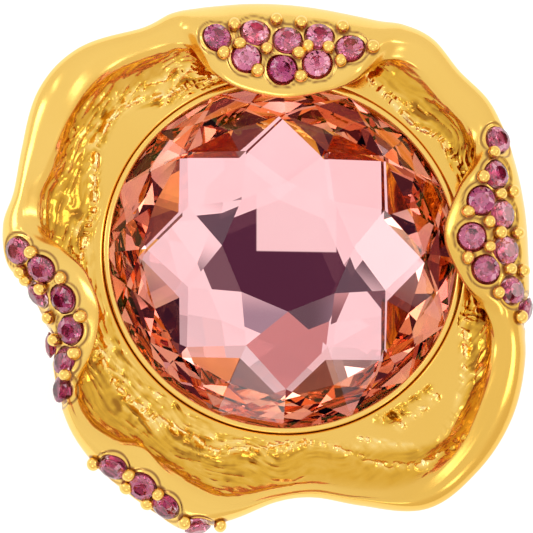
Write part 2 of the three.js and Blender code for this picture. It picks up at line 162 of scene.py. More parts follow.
# Cup, collet, gallery and shank
CUP_FOOT_INNER = 6.0
CUP_FOOT_OUTER = 7.0
BOWL_FLOOR = 0.42
BOWL_RADIUS = 13.0
COLLET_OUTER = 10.36
COLLET_INNER = 9.6
COLLET_LIP = 10.02
COLLET_TOP = 0.54
COLLET_FOOT = -2.0
LEDGE_INNER = 9.9
JOIN_GAP = 0.05
FINGER_RADIUS = 8.65
BAND_THICK_BACK = 1.6
BAND_THICK_TOP = 1.8
BAND_WIDTH_BACK = 3.6
BAND_WIDTH_TOP = 7.6
BAND_EDGE = 0.5
BAND_INNER_EDGE = 0.28
BAND_DOME = 0.45
GALLERY_INNER = 5.9
GALLERY_OUTER = 7.1
GALLERY_WAIST = 6.6
# Heights over the finger's middle between which the gallery's foot narrows to the waist, and
# distances under its top between which it widens again
GALLERY_FOOT_FLARE = (8.0, 9.9)
GALLERY_TOP_FLARE = (0.9, 0.25)
GALLERY_EDGE = 0.07

# Big stone: thickness of the girdle, depth of the back's flat middle, and greatest depth
STONE_GIRDLE = 0.24
STONE_BACK = 1.3
STONE_DEPTH = 2.0
GLASS, FOIL, EDGE_FOIL = 0, 1, 2

# Fineness of the grids
CUP_COLUMNS = 1100
BAND_COLUMNS = 300
ROUND_COLUMNS = 360
# Rows between one control point of a slice and the next, finest on the rim and in the bowl
SPAN_ROWS = (8, 14, 16, 12, 8, 6, 6, 2, 2, 2, 2, 2, 3, 26, 24, 16, 12, 6)
# The control point where the bowl's floor starts, beside the collet
FLOOR_SPAN = 13

# Chased texture in the bowl: how strong it is at each (angle, strength), and how far in from the
# floor's edge it starts at each (angle, distance); the angles in degrees
CHASING = [
    (0, 0.7), (30, 1.0), (50, 1.0), (60, 0.6), (90, 0.4), (112, 1.0), (135, 1.0), (160, 1.0),
    (185, 0.9), (205, 1.0), (235, 1.0), (262, 0.8), (280, 0.5), (300, 0.25), (318, 0.2),
    (328, 0.8), (345, 1.0),
]
CHASING_START = [
    (0, 1.0), (45, 0.1), (60, 0.0), (105, 0.8), (130, 0.7), (150, 0.3), (175, 0.6), (205, 1.6),
    (240, 1.4), (270, 0.5), (300, 0.1), (325, 0.2), (345, 0.8),
]
STROKE_HEIGHT = 0.085
MARK_HEIGHT = 0.055
CREST_HEIGHT = 0.2
CREST_WIDTH = 0.2
# How deep a valley runs outside the floor's edge at each (angle, depth)
VALLEY = [
    (0, 0.15), (30, 0.25), (60, 0.1), (100, 0.0), (125, 0.25), (165, 0.3), (185, 0.1),
    (205, 0.3), (250, 0.35), (270, 0.2), (285, 0.05), (318, 0.0), (335, 0.35), (350, 0.3),
]
# Single ridges and pits in the bowl: start, end, half width and height
RIDGES = [
    ((5.6, -9.5), (7.0, -9.1), 0.3, -0.26),
    ((6.6, -9.95), (8.8, -8.1), 0.2, 0.24),
    ((6.2, -9.2), (8.4, -7.6), 0.17, -0.2),
    ((-1.3, -11.2), (1.55, -10.8), 0.17, 0.16),
    ((3.1, -11.2), (5.9, -12.3), 0.2, 0.18),
    ((5.9, -12.2), (8.0, -12.2), 0.2, 0.2),
    ((8.0, -12.2), (9.6, -11.0), 0.18, 0.2),
    ((9.3, -11.4), (10.2, -10.6), 0.3, -0.22),
    ((4.4, -10.6), (7.3, -10.95), 0.15, 0.16),
    ((-9.1, 9.1), (-5.4, 10.7), 0.16, 0.14),
    ((5.2, 10.2), (7.2, 8.9), 0.16, 0.16),
    ((9.7, 9.5), (10.9, 7.8), 0.2, 0.16),
    ((10.9, 7.8), (11.2, 6.3), 0.18, 0.14),
]
# How much brighter each ridge is painted and how much darker each pit: partly wear, partly painted
# highlight and painted shade
RIDGE_WEAR_AND_GLINT = 0.7

# How much darker the gold is painted in the bowl, a painted shade of the hollow, then how much
# darker it is out on the rim, most on the right and lower right, at each (angle, depth)
BOWL_PAINTED_SHADE = [
    (0, 0.65), (35, 0.65), (55, 0.55), (70, 0.5), (90, 0.35), (130, 0.22), (152, 0.45),
    (172, 0.62), (200, 0.55), (222, 0.64), (245, 0.55), (275, 0.5), (300, 0.6), (318, 0.62),
    (330, 0.68),
]
RIM_DARKENING = [(0, 0.25), (50, 0.06), (80, 0.02), (270, 0.05), (300, 0.3), (330, 0.32)]
# Bright gold for the painted highlight, plain gold, and ochre and darkened gold for the painted
# shade, each at its place on a scale from 0 to 1
GOLD_SHEEN_AND_SHADE = [
    (0.15, (1.0, 0.82, 0.42)),
    (0.5, (0.95, 0.63, 0.18)),
    (0.8, (0.74, 0.41, 0.05)),
    (1.0, (0.34, 0.14, 0.02)),
]
# The cloudy tint over the gold, the foil in the small stones' seats, and the painted shade in the
# crevices round the seats, the stones' fields and the beads
GOLD_CLOUD = (0.80, 0.45, 0.05)
SEAT_FOIL = (0.84, 0.56, 0.63)
CREVICE_SHADE_COLOUR = (0.20, 0.06, 0.03)
# Fineness of the clouds, of the grain and of the stones' drift in colour, in features a metre
CLOUD_SCALE = 260.0
GRAIN_SCALE = 2200.0
DRIFT_SCALE = 330.0
GRAIN_DEPTH = 0.05

# Stones: plain, drifting and dark colour, and the foils' plain and drifting colour
GLASS_COLOURS = ((1.0, 0.82, 0.835), (0.99, 0.80, 0.815), (0.9, 0.7, 0.7))
ROSE_COLOURS = ((0.84, 0.30, 0.41), (0.44, 0.07, 0.19), (0.30, 0.035, 0.10))
PINK_FOIL_COLOURS = ((0.985, 0.69, 0.705), (0.975, 0.67, 0.69))
COPPER_FOIL_COLOURS = ((0.95, 0.64, 0.44), (0.78, 0.46, 0.42))
CRYSTAL_IOR = 1.56
RUBY_IOR = 1.76

# Camera: straight down on the head, a little from the front and the left. The shift is how far the
# picture's middle lies to the right of the head's and above it.
VIEW_TILT = Vector((-0.09, -0.18, 0.98)).normalized()
VIEW_DISTANCE = 300.0
VIEW_WIDTH = 30.63
VIEW_SHIFT = (-0.95, -0.60)
SENSOR = 36.0

# Studio
FLOOR_HALF = 600.0
LIGHT_DISTANCE = 420.0
# Softboxes: name, direction from the middle of the head, width and height, and radiance
LIGHTS = [
    ("left_box", (-1.0, 0.35, 0.75), (90, 160), 3.0),
    ("right_box", (1.0, 0.2, 0.9), (70, 160), 3.0),
    ("front_box", (-0.1, -1.0, 0.8), (160, 60), 3.0),
    ("corner_box", (0.56, -0.44, 0.72), (45, 90), 3.0),
    ("back_box", (-0.44, 0.60, 0.67), (36, 110), 2.3),
]
# Cards hung above the stone, seen only in polished facets. Each is middle x and y, direction of its
# long side, half length, half width, edge softness and colour. All but the colour are in degrees,
# measured on a flat map of the sky with the zenith at 0, 0.
CARDS = [
    (4.5, 11.1, 158, 20.5, 4.0, 0.3, (0.095, 0.035, 0.075)),
    (0.5, 16.0, 0, 3.6, 2.3, 0.3, (0.10, 0.035, 0.07)),
    (11.8, 13.0, 0, 2.7, 2.0, 0.3, (0.16, 0.05, 0.09)),
    (6.2, 16.2, 0, 3.0, 1.6, 0.3, (0.38, 0.33, 0.42)),
    (4.8, 31.5, 0, 6.6, 13.4, 0.6, (0.62, 0.31, 0.30)),
    (5.6, 11.2, 0, 0.45, 0.5, 0.01, (1.0, 1.0, 1.0)),
]
ZENITH_GLOW = 1.0
HORIZON_GLOW = 0.8
CEILING = (0.98, 0.96, 0.87)
LEFT_WALL = (0.95, 0.92, 0.82)
RIGHT_WALL = (0.88, 0.79, 0.60)
# The patchwork low round the sides that polished facets see: two light patches and two dark
WHITE_PATCH = (3.6, 3.1, 3.0)
AMBER_PATCH = (1.15, 0.62, 0.26)
BLACK_PATCH = (0.04, 0.01, 0.035)
MAUVE_PATCH = (0.22, 0.08, 0.09)
# Heights up the sky, from 0 level to 1 overhead, of the patchwork's top and of the ceiling's edge
PATCHWORK_TOP = 0.69
CEILING_EDGE = 0.72


def blend(a, b, t):
    return a + (b - a) * t


def ease(x, low, high):
    """0 at low, 1 at high and level at both."""
    t = np.clip((x - low) / (high - low), 0, 1)
    return t * t * (3 - 2 * t)


def hermite(a, b, leave, arrive, f):
    """From a to b as f goes from 0 to 1, with the slopes `leave` and `arrive` at the ends."""
    return (
        (2 * f**3 - 3 * f**2 + 1) * a
        + (f**3 - 2 * f**2 + f) * leave
        + (3 * f**2 - 2 * f**3) * b
        + (f**3 - f**2) * arrive
    )


def lattice_noise(x, y, seed):
    """Smooth noise from -1 to 1 with one value for each whole x and y."""
    table = np.random.default_rng(seed).uniform(-1, 1, (256, 256))
    column, row = np.floor(x).astype(int), np.floor(y).astype(int)
    fx, fy = (f * f * (3 - 2 * f) for f in (x - column, y - row))

    def corner(i, j):
        return table[(column + i) % 256, (row + j) % 256]

    near, far = (blend(corner(0, j), corner(1, j), fx) for j in (0, 1))
    return blend(near, far, fy)


# Meshes

def new_object(name, points, faces, smooth=True):
    """A mesh object on the ring's one body, from points in millimetres in the ring's frame."""
    mesh = bpy.data.meshes.new(name)
    mesh.from_pydata((np.asarray(points) * MM).tolist(), [], faces)
    mesh.update()
    bm = bmesh.new()
    bm.from_mesh(mesh)
    bmesh.ops.recalc_face_normals(bm, faces=bm.faces)
    bm.to_mesh(mesh)
    bm.free()
    if smooth:
        mesh.shade_smooth()
    obj = bpy.data.objects.new(name, mesh)
    bpy.context.scene.collection.objects.link(obj)
    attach(obj, BODY)
    return obj


def ring_faces(columns, rows):
    """Quads of a grid that closes both ways."""
    i, j = np.meshgrid(np.arange(columns), np.arange(rows), indexing="ij")
    i2, j2 = (i + 1) % columns, (j + 1) % rows
    quads = np.stack([i * rows + j, i2 * rows + j, i2 * rows + j2, i * rows + j2], -1)
    return quads.reshape(-1, 4).tolist()


# Cup

def station_at(u):
    """The eight station numbers at each u, on a smooth closed curve through the stations."""
    table = np.array(STATIONS, float)
    count = len(table)
    start = np.floor(u).astype(int)

    def row(k):
        values = table[k % count].copy()
        values[:, (0, 4)] += (360.0 * (k // count))[:, None]
        return values

    before, here, after, last = (row(start + k) for k in (-1, 0, 1, 2))
    f = (u - start)[:, None]
    return hermite(here, after, (after - before) / 2, (last - here) / 2, f)


def slice_controls(u):
    """The control points of the slices at u: nose, over the rim to the shoulder, down the
    outside to the foot, up the inside to the collet's seat, and over the bowl to the nose. Curl is
    1 where the petal is curled in over the bowl and 0 where it is open."""
    nose_angle, nose, nose_z, top_z, angle, shoulder, shoulder_z, floor_edge = station_at(u).T
    curl = ease(shoulder - nose, 1.9, 3.6)
    top_z = blend(nose_z, top_z, blend(0.5, 1.0, curl))
    roll_in = blend(0.24, 0.14, curl)
    seat = COLLET_OUTER + JOIN_GAP
    ledge = COLLET_FOOT - JOIN_GAP

    def across(t):
        return blend(nose_angle, angle, t)

    rows = [
        (nose_angle, nose, nose_z),
        (across(roll_in), blend(nose, shoulder, roll_in),
         blend(nose_z, top_z, blend(0.65, 0.8, curl))),
        (across(0.47), blend(nose, shoulder, 0.47), top_z),
        (across(0.8), blend(nose, shoulder, 0.82),
         blend(top_z, shoulder_z, blend(0.3, 0.36, curl))),
        (angle, shoulder, shoulder_z),
        (angle, shoulder - 1.0, shoulder_z - blend(1.9, 1.7, curl)),
        (angle, 11.7, -2.4),
        (angle, CUP_FOOT_OUTER + 0.1, CUP_FOOT + 0.2),
        (angle, CUP_FOOT_INNER + 0.5, CUP_FOOT),
        (angle, CUP_FOOT_INNER, CUP_FOOT + 0.3),
        (angle, LEDGE_INNER, ledge),
        (angle, seat, ledge + 0.25),
        (across(0.8), seat + 0.01, BOWL_FLOOR - 0.1),
        (across(0.8), seat + 0.12, BOWL_FLOOR),
        (across(0.8), floor_edge, BOWL_FLOOR),
        (across(0.6), blend(blend(floor_edge, nose, 0.45), shoulder - 1.5, curl),
         blend(blend(BOWL_FLOOR, nose_z, 0.34), BOWL_FLOOR + 0.5, curl)),
        (across(blend(0.02, 0.45, curl)),
         blend(blend(floor_edge, nose, 0.8), blend(nose, shoulder, 0.45), curl),
         blend(blend(BOWL_FLOOR, nose_z, 0.75), top_z - 1.15, curl)),
        (nose_angle, blend(blend(floor_edge, nose, 0.93), nose + 0.55, curl),
         blend(blend(BOWL_FLOOR, nose_z, 0.92), nose_z - 0.62, curl)),
    ]
    points = []
    for degrees, radius, height in rows:
        turn = np.radians(degrees)
        height = np.broadcast_to(height, turn.shape)
        points.append(np.stack([radius * np.cos(turn), radius * np.sin(turn), height], -1))
    return np.stack(points, 1)


def span_points(controls, span, f):
    """Centripetal Catmull-Rom between control point `span` and the next."""
    count = controls.shape[1]
    p0, p1, p2, p3 = (controls[:, (span + k) % count] for k in (-1, 0, 1, 2))

    def gap(a, b):
        return np.maximum(((b - a) ** 2).sum(-1, keepdims=True) ** 0.25, 1e-4)

    d0, d1, d2 = gap(p0, p1), gap(p1, p2), gap(p2, p3)
    leave = ((p1 - p0) / d0 - (p2 - p0) / (d0 + d1) + (p2 - p1) / d1) * d1
    arrive = ((p2 - p1) / d1 - (p3 - p1) / (d1 + d2) + (p3 - p2) / d2) * d1
    return hermite(p1, p2, leave, arrive, f)


def cup_surface(u):
    """The cup's points, a slice for each u, and how many control points along each row lies."""
    controls = slice_controls(u)
    rows = []
    places = []
    for span, steps in enumerate(SPAN_ROWS):
        for k in range(steps):
            rows.append(span_points(controls, span, k / steps))
            places.append(span + k / steps)
    return np.stack(rows, 1), np.array(places)


def rim_point(u, place):
    """The point of the cup at a station and a place across."""
    span = int(math.floor(place))
    controls = slice_controls(np.array([float(u)]))
    return span_points(controls, span, place - span)[0]


def rim_frame(u, place):
    """The point on the rim at a station and a place across, with the direction out of the metal."""
    step = 0.02
    along = rim_point(u + step, place) - rim_point(u - step, place)
    over = rim_point(u, place + step) - rim_point(u, place - step)
    normal = np.cross(over, along)
    return rim_point(u, place), normal / np.linalg.norm(normal)


def grid_normals(points):
    """The direction out of the metal at each point of the cup."""
    along = np.roll(points, -1, 0) - np.roll(points, 1, 0)
    over = np.roll(points, -1, 1) - np.roll(points, 1, 1)
    normals = np.cross(over, along)
    return normals / np.maximum(np.linalg.norm(normals, axis=-1, keepdims=True), 1e-12)


def near_places(points, places, inner, outer):
    """1 within `inner` of any of the places on the rim, falling to 0 at `outer`."""
    nearest = np.full(points.shape[:2], np.inf)
    for u, place in places:
        centre, _ = rim_frame(u, place)
        nearest = np.minimum(nearest, np.linalg.norm(points - centre, axis=-1))
    return 1 - ease(nearest, inner, outer)


def sink_seats(points, normals):
    """Cuts the field round each petal's stones a little into the metal, and a round seat under each
    stone. Also returns how far each point lies inside a seat, from 0 to 1, and lines of painted
    shade in the crevices round the fields, seats and beads."""
    stones = sum(SMALL_STONES.values(), [])
    seat = near_places(points, stones, *(SMALL_STONE_RADIUS * wall for wall in SEAT_WALL))
    field = near_places(points, stones, *(SMALL_STONE_RADIUS * wall for wall in FIELD_WALL))
    bead = near_places(points, BEADS, *(BEAD_RADIUS * edge for edge in BEAD_SHADOW))
    # Painted shade along the edges of the seats, fields and beads
    lines = np.maximum(4 * seat * (1 - seat), 3.4 * field * (1 - field))
    sunk = points - normals * (SEAT_DEPTH * seat + FIELD_DEPTH * field)[..., None]
    return sunk, seat, np.maximum(lines, 0.9 * bead)


def round_the_cup(pairs, degrees):
    """The value at each angle, on straight lines between the (angle, value) pairs."""
    angles = [a for a, _ in pairs]
    values = [v for _, v in pairs]
    return np.interp(degrees % 360, angles + [angles[0] + 360], values + [values[0]])


def near_line(points, start, end, width):
    """1 on a straight line in plan, falling away to either side and beyond its ends."""
    start, end = np.array(start, float), np.array(end, float)
    span = end - start
    t = ((points[..., :2] - start) @ span) / (span @ span)
    foot = start + np.clip(t, 0, 1)[..., None] * span
    away = np.linalg.norm(points[..., :2] - foot, axis=-1)
    return np.exp(-((away / width) ** 2))


def chase_bowl(points, places, floor_edge):
    """Lifts for the bowl: strokes that run round it, small hammer marks, a broken crest along the
    floor's edge, a shallow valley outside it, and single ridges and pits. Also returns how textured
    each point is, and a value that is over 0 where raised metal and the crest are painted brighter,
    partly rubbed metal and partly painted highlight, and under 0 down in the marks, darkened partly
    as patina and partly as painted shade."""
    x, y = points[..., 0], points[..., 1]
    radius = np.hypot(x, y)
    degrees = np.degrees(np.arctan2(y, x))
    length = np.radians(degrees % 360) * BOWL_RADIUS
    strength = round_the_cup(CHASING, degrees)
    in_bowl = (places >= FLOOR_SPAN)[None, :]
    in_bowl = in_bowl * ease(radius, COLLET_OUTER + 0.15, COLLET_OUTER + 0.4)
    wander = 0.5 * lattice_noise(length / 2.1, radius / 1.7, 11)
    beyond = radius - floor_edge[:, None] + 0.5 * wander
    patches = 0.5 + 0.5 * lattice_noise(length / 1.5, radius / 0.8, 12)

    flow = radius + wander
    strokes = lattice_noise(length / 1.1, flow / 0.14, 1)
    strokes = strokes + 0.7 * lattice_noise(length / 0.6, flow / 0.085, 2)
    marks = lattice_noise(x / 0.36, y / 0.36, 3) + 0.5 * lattice_noise(x / 0.19, y / 0.19, 4)
    begin = -round_the_cup(CHASING_START, degrees)
    zone = ease(beyond, begin - 0.25, begin + 0.25) * (1 - ease(places, 15.7, 17.0))[None, :]
    zone = zone * in_bowl * strength * blend(0.45, 1.0, ease(patches, 0.25, 0.6))
    zone = zone * (1 - 0.55 * ease(beyond, 0.5, 1.1))
    crest = np.exp(-((beyond / CREST_WIDTH) ** 2)) * in_bowl
    flecks = ease(lattice_noise(length / 0.17, beyond / 0.5, 5), -0.4, 0.3)
    crest = crest * flecks * strength
    valley = ease(beyond, 0.1, 0.7) * (1 - ease(places, 15.3, 16.6))[None, :] * in_bowl
    valley = valley * round_the_cup(VALLEY, degrees)
    lift = zone * (STROKE_HEIGHT * strokes + MARK_HEIGHT * marks) + CREST_HEIGHT * crest - valley
    texture = zone + crest
    # Raised strokes and marks painted brighter, partly wear and partly painted highlight, low ones
    # darker, partly patina and partly painted shade; the crest's brightening is painted highlight
    wear_and_glint = zone * (0.6 * strokes + 0.35 * marks - 0.2) + 0.9 * crest

    ragged = np.maximum(0.6 + 0.9 * lattice_noise(x / 0.2, y / 0.2, 6), 0)
    for start, end, width, height in RIDGES:
        ridge = near_line(points, start, end, width) * in_bowl * ragged
        lift = lift + height * ridge
        texture = texture + ridge
        wear_and_glint = wear_and_glint + ridge * math.copysign(RIDGE_WEAR_AND_GLINT, height)
    return lift, np.clip(texture, 0, 1), wear_and_glint


def gold_sheen_and_shade(points, places, floor_edge, wear_and_glint):
    """From -1 for gold painted bright, partly rubbed metal and partly painted highlight, through 0
    for plain gold, to 1 for gold darkened as painted shade in the bowl.
    """
    degrees = np.degrees(np.arctan2(points[..., 1], points[..., 0]))
    beyond = np.hypot(points[..., 0], points[..., 1]) - floor_edge[:, None]
    # Painted shade: darker up the bowl's walls than on its floor by the collet
    floor_to_wall = blend(0.35, 1.0, ease(beyond, -0.2, 0.5))
    in_bowl = ((places >= FLOOR_SPAN) * (1 - ease(places, 15.2, 16.9)))[None, :]
    bowl = floor_to_wall * round_the_cup(BOWL_PAINTED_SHADE, degrees)
    return np.clip(blend(round_the_cup(RIM_DARKENING, degrees), bowl - wear_and_glint, in_bowl), -1, 1)


def make_cup():
    """The petal cup, chased, with its seats sunk, and the values its material is mixed by."""
    u = np.arange(CUP_COLUMNS) * len(STATIONS) / CUP_COLUMNS
    points, places = cup_surface(u)
    normals = grid_normals(points)
    floor_edge = station_at(u)[:, -1]
    lift, texture, wear_and_glint = chase_bowl(points, places, floor_edge)
    # The gold's painted highlight and painted shade, on a scale from -1 to 1
    deep = gold_sheen_and_shade(points, places, floor_edge, wear_and_glint)
    points, seats, lines = sink_seats(points + normals * lift[..., None], normals)
    points[..., 2] += GIRDLE_HEIGHT
    cup = new_object("petal_cup_fine", points.reshape(-1, 3), ring_faces(*points.shape[:2]))
    # The last of these values is painted shade in the crevices round the seats, fields and beads
    looks = {"chased": texture, "deep": deep, "seat": seats, "crevice_shade": lines}
    for name, values in looks.items():
        attribute = cup.data.attributes.new(name, "FLOAT", "POINT")
        attribute.data.foreach_set("value", values.reshape(-1))
    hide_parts("petal_cup")
    return cup


def set_on_rim(points, u, place, lift):
    """Moves points from a small piece's own axes to its place on the rim, in the ring's frame."""
    centre, normal = rim_frame(u, place)
    turn = Vector((0, 0, 1)).rotation_difference(Vector(normal)).to_matrix()
    moved = np.asarray(points) @ np.array(turn).T + centre + normal * lift
    return moved + np.array([0, 0, GIRDLE_HEIGHT])


def make_beads():
    """The beads that hold the small stones, each a little out of round."""
    ball = bmesh.new()
    bmesh.ops.create_icosphere(ball, subdivisions=4, radius=BEAD_RADIUS)
    shape = np.array([v.co[:] for v in ball.verts])
    faces = [[v.index for v in f.verts] for f in ball.faces]
    ball.free()
    points = []
    all_faces = []
    for k, (u, place) in enumerate(BEADS):
        wide, deep = BEAD_SQUASH * math.sin(2.1 * k), BEAD_SQUASH * math.cos(3.3 * k)
        squash = np.array([1.0 + wide, 1.0 + deep, 1.0])
        all_faces += [[i + len(shape) * k for i in face] for face in faces]
        points.append(set_on_rim(shape * squash, u, place, BEAD_LIFT))
    beads = new_object("petal_beads", np.concatenate(points), all_faces)
    return beads


# Collet, gallery and shank

def rounded_outline(corners, steps):
    """A closed outline of (x, y, corner radius) corners, each rounded with an arc."""
    count = len(corners)
    outline = []
    for k in range(count):
        here = np.array(corners[k][:2])
        before, after = (np.array(corners[(k + d) % count][:2]) - here for d in (-1, 1))
        a, b = before / np.linalg.norm(before), after / np.linalg.norm(after)
        radius = corners[k][2]
        if radius == 0:
            outline.append(here)
            continue
        half = math.acos(np.clip(a @ b, -1, 1)) / 2
        middle = here + (a + b) / np.linalg.norm(a + b) * radius / math.sin(half)
        first = here + a * radius / math.tan(half) - middle
        last = here + b * radius / math.tan(half) - middle
        sweep = math.pi - 2 * half
        for i in range(steps + 1):
            t = i / steps
            outline.append(middle + (first * math.sin((1 - t) * sweep) + last * math.sin(t * sweep))
                           / math.sin(sweep))
    return np.array(outline)


def make_collet():
    """A tube with a rounded lip, and a sloped seat inside it for the big stone."""
    seat = STONE_RADIUS + JOIN_GAP
    outline = rounded_outline([
        (COLLET_OUTER, COLLET_FOOT, 0.1),
        (COLLET_OUTER, COLLET_TOP, 0.1),
        (COLLET_LIP, COLLET_TOP, 0.14),
        (COLLET_LIP, 0.4, 0),
        (seat, 0.2, 0),
        (seat, -0.22, 0),
        (COLLET_INNER, -0.7, 0),
        (COLLET_INNER, COLLET_FOOT, 0.1),
    ], 6)
    angles = np.arange(ROUND_COLUMNS) * 2 * math.pi / ROUND_COLUMNS
    x = outline[None, :, 0] * np.cos(angles)[:, None]
    y = outline[None, :, 0] * np.sin(angles)[:, None]
    z = np.broadcast_to(outline[None, :, 1] + GIRDLE_HEIGHT, x.shape)
    collet = new_object("stone_collet_fine", np.stack([x, y, z], -1).reshape(-1, 3),
                        ring_faces(ROUND_COLUMNS, len(outline)))
    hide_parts("stone_collet")
    return collet


def arc(y, height, radius, start, steps):
    """A quarter circle round (y, height), clockwise from `start` degrees."""
    turn = np.radians(start - 90 * np.arange(steps + 1) / steps)
    return [(y + radius * math.cos(a), height + radius * math.sin(a)) for a in turn]


def make_shank():
    """A domed band, flat on top where the gallery stands, swept round the finger hole."""
    sections = []
    for angle in np.arange(BAND_COLUMNS) * 2 * math.pi / BAND_COLUMNS:
        top = float(ease(math.cos(angle), -0.2, 0.92))
        half = blend(BAND_WIDTH_BACK, BAND_WIDTH_TOP, top) / 2
        thick = blend(BAND_THICK_BACK, BAND_THICK_TOP, top)
        dome = blend(BAND_DOME, 0.0, float(ease(math.cos(angle), 0.4, 0.7)))
        flank = half - BAND_EDGE
        outline = [(flank * t / 8, thick - dome * (t / 8) ** 2) for t in range(-7, 8)]
        outline += arc(flank, thick - dome - BAND_EDGE, BAND_EDGE, 90, 7)
        outline += arc(half - BAND_INNER_EDGE, BAND_INNER_EDGE, BAND_INNER_EDGE, 0, 5)
        outline += arc(BAND_INNER_EDGE - half, BAND_INNER_EDGE, BAND_INNER_EDGE, -90, 5)
        outline += arc(-flank, thick - dome - BAND_EDGE, BAND_EDGE, -180, 7)
        y, height = np.array(outline).T
        radius = FINGER_RADIUS + height
        sections.append(np.stack([radius * math.sin(angle), y, radius * math.cos(angle)], -1))
    sections = np.array(sections)
    shank = new_object("shank_fine", sections.reshape(-1, 3), ring_faces(*sections.shape[:2]))
    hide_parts("shank")
    return shank


def make_gallery():
    """A waisted collar, its foot cut to the curve of the shank."""
    top = GIRDLE_HEIGHT + CUP_FOOT - JOIN_GAP
    reach = FINGER_RADIUS + BAND_THICK_TOP + JOIN_GAP
    turn = np.arange(ROUND_COLUMNS) * 2 * math.pi / ROUND_COLUMNS

    def outer_radius(height):
        foot = 1 - ease(height, *GALLERY_FOOT_FLARE)
        head = ease(height, *(top - below for below in GALLERY_TOP_FLARE))
        return blend(GALLERY_WAIST, GALLERY_OUTER, foot + head)

    outer_foot = np.full(turn.shape, 9.0)
    for _ in range(30):
        outer_foot = np.sqrt(reach**2 - (outer_radius(outer_foot) * np.cos(turn)) ** 2)
    inner_foot = np.sqrt(reach**2 - (GALLERY_INNER * np.cos(turn)) ** 2)
    rows = []
    steps = 40
    for k in range(steps + 1):
        height = blend(outer_foot, top, k / steps)
        trim = GALLERY_EDGE * (k in (0, steps))
        rows.append((outer_radius(height) - trim, height))
    rows += [(np.full(turn.shape, GALLERY_INNER), blend(top, inner_foot, k / 4)) for k in range(5)]
    points = np.stack([np.stack([r * np.cos(turn), r * np.sin(turn), h], -1) for r, h in rows], 1)
    gallery = new_object("gallery_fine", points.reshape(-1, 3), ring_faces(*points.shape[:2]))
    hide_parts("gallery")
    return gallery


# Stones

def ring_of(count, start, radius, height):
    """Points evenly round a level circle, the first at `start` degrees."""
    turn = np.radians(start + 360 * np.arange(count) / count)
    return np.stack([radius * np.cos(turn), radius * np.sin(turn), np.full(count, height)], -1)


def make_big_stone(materials):
    """The same facets as the CAD stone, with clear ones in front and foiled ones behind."""
    r = STONE_RADIUS
    rim = STONE_GIRDLE / 2
    points = np.concatenate([
        ring_of(8, 0, 0.372 * r, STONE_CROWN),
        ring_of(8, 22.5, 0.603 * r, 2.38),
        ring_of(8, 0, 0.79 * r, 1.6),
        ring_of(16, 0, r, rim),
        ring_of(16, 0, r, -rim),
        ring_of(8, 0, 0.76 * r, -STONE_BACK),
        ring_of(8, 22.5, 0.575 * r, -STONE_BACK),
        ring_of(8, 22.5, 0.72 * r, -STONE_DEPTH),
        ring_of(16, 11.25, 0.87 * r, -0.9),
        [[0, 0, -STONE_BACK]],
    ])
    table, star, tip, upper, lower = 0, 8, 16, 24, 40
    point, notch, deep, outer, middle = 56, 64, 72, 80, 96
    faces = [[table + k for k in range(8)]]
    kinds = [GLASS]
    for i in range(8):
        after, last = (i + 1) % 8, (i + 7) % 8
        edge, mid, far, back = 2 * i, 2 * i + 1, (2 * i + 2) % 16, (2 * i + 15) % 16
        front = [
            [table + i, star + i, table + after],
            [table + i, star + last, tip + i, star + i],
            [star + i, tip + i, upper + mid, tip + after],
            [tip + i, upper + edge, upper + mid],
            [tip + i, upper + back, upper + edge],
            [upper + edge, lower + edge, lower + mid, upper + mid],
            [upper + mid, lower + mid, lower + far, upper + far],
        ]
        flat = [[middle, notch + i, point + i], [middle, point + after, notch + i]]
        slopes = [
            [lower + edge, outer + edge, lower + mid],
            [lower + mid, outer + edge, outer + mid],
            [lower + mid, outer + mid, lower + far],
            [lower + edge, outer + back, outer + edge],
            [point + i, notch + i, deep + i],
            [notch + i, point + after, deep + i],
            [point + i, deep + i, outer + edge],
            [deep + i, outer + mid, outer + edge],
            [deep + i, point + after, outer + mid],
            [point + i, outer + edge, outer + back],
        ]
        faces += front + flat + slopes
        kinds += [GLASS] * len(front) + [FOIL] * len(flat) + [EDGE_FOIL] * len(slopes)
    points = points + np.array([0, 0, GIRDLE_HEIGHT])
    stone = new_object("centre_stone_cut", points, faces, smooth=False)
    for material in materials:
        stone.data.materials.append(material)
    stone.data.polygons.foreach_set("material_index", kinds)
    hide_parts("centre_stone")


def brilliant(radius):
    """Round brilliant: table, eight stars, eight kites, sixteen halves, and the same below."""
    r = radius
    points = np.concatenate([
        ring_of(8, 0, 0.56 * r, 0.30 * r),
        ring_of(8, 22.5, 0.77 * r, 0.185 * r),
        ring_of(16, 0, r, 0.03 * r),
        ring_of(16, 0, r, -0.03 * r),
        ring_of(8, 22.5, 0.22 * r, -0.70 * r),
        [[0, 0, -0.86 * r]],
    ])
    table, star, upper, lower, deep, culet = 0, 8, 16, 32, 48, 56
    faces = [[table + k for k in range(8)]]
    for i in range(8):
        after, last = (i + 1) % 8, (i + 7) % 8
        edge, mid, far, back = 2 * i, 2 * i + 1, (2 * i + 2) % 16, (2 * i + 15) % 16
        faces += [
            [table + i, star + i, table + after],
            [table + i, star + last, upper + edge, star + i],
            [star + i, upper + edge, upper + mid],
            [star + last, upper + back, upper + edge],
            [upper + edge, lower + edge, lower + mid, upper + mid],
            [upper + mid, lower + mid, lower + far, upper + far],
            [lower + edge, deep + i, lower + mid],
            [lower + mid, deep + i, lower + far],
            [lower + edge, deep + last, culet, deep + i],
        ]
    return points, faces


